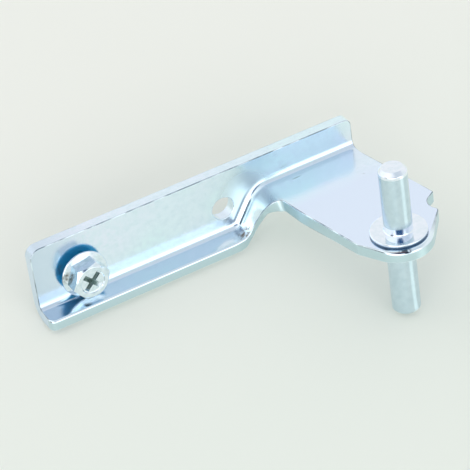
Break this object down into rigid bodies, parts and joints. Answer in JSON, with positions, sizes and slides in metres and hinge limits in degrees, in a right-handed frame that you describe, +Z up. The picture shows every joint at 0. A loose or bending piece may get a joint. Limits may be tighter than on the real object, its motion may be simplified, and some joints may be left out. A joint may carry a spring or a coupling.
{
  "type": "fridge door hinge",
  "caption": "Pressed hinge plate for a fridge and freezer: a leg screwed to the cabinet, a cranked flange and an arm that carries a double-ended pin for both doors.",
  "frame": {"origin": "on the leg's back face, midway between its two screw holes", "axes": "+Z up along the hinge pin, +X along the leg from the loose screw's end to the arm, +Y out of the leg's back into the cabinet; the arm and pin stand out to -Y"},
  "size_m": [0.1073, 0.0681, 0.0472],
  "materials": {
    "zinc_plated_sheet": "bright zinc plate with a pale blue passivation, smooth",
    "zinc_plated_pin": "bright zinc plate on a turned surface, pale blue passivation",
    "zinc_plated_screw": "bright zinc plate on a cold-formed head"
  },
  "bodies": {
    "root": {"hinge_plate": "zinc_plated_sheet", "hinge_pin": "zinc_plated_pin", "flange_screw": "zinc_plated_screw"}
  },
  "joints": []
}
